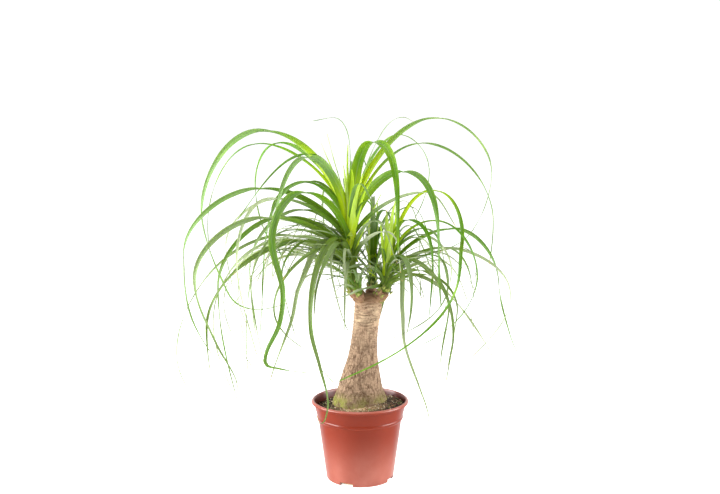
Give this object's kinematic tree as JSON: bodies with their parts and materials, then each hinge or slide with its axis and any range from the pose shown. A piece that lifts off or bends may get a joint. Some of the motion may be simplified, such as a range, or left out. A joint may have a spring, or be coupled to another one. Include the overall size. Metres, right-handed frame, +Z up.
{
  "type": "potted palm",
  "caption": "Potted ponytail palm: swollen bark trunk, heads of long arching strap leaves, dark potting soil and a stepped, tapered clay-coloured plastic pot with a rolled lip.",
  "frame": {"origin": "centre of the pot's flat base, on the floor", "axes": "+Z up along the pot's axis, -Y towards the front, +X to the right seen from the front"},
  "size_m": [0.6211, 0.4518, 0.6458],
  "materials": {
    "clay_plastic": "satin moulded plastic, clay red",
    "potting_soil": "rough dark crumbly soil with pale grit",
    "trunk_bark": "dry tan bark, finely cracked and ringed, mossy at the foot",
    "leaf_tall": "satin leaf, yellow-green when young, blue-green when old",
    "leaf_right": "satin leaf, yellow-green when young, blue-green when old",
    "leaf_back": "satin dark green leaf",
    "leaf_low": "satin leaf"
  },
  "bodies": {
    "root": {"pot": "clay_plastic", "soil": "potting_soil", "trunk": "trunk_bark", "head_tall": "leaf_tall", "head_right": "leaf_right", "head_back": "leaf_back", "head_low": "leaf_low"}
  },
  "joints": []
}
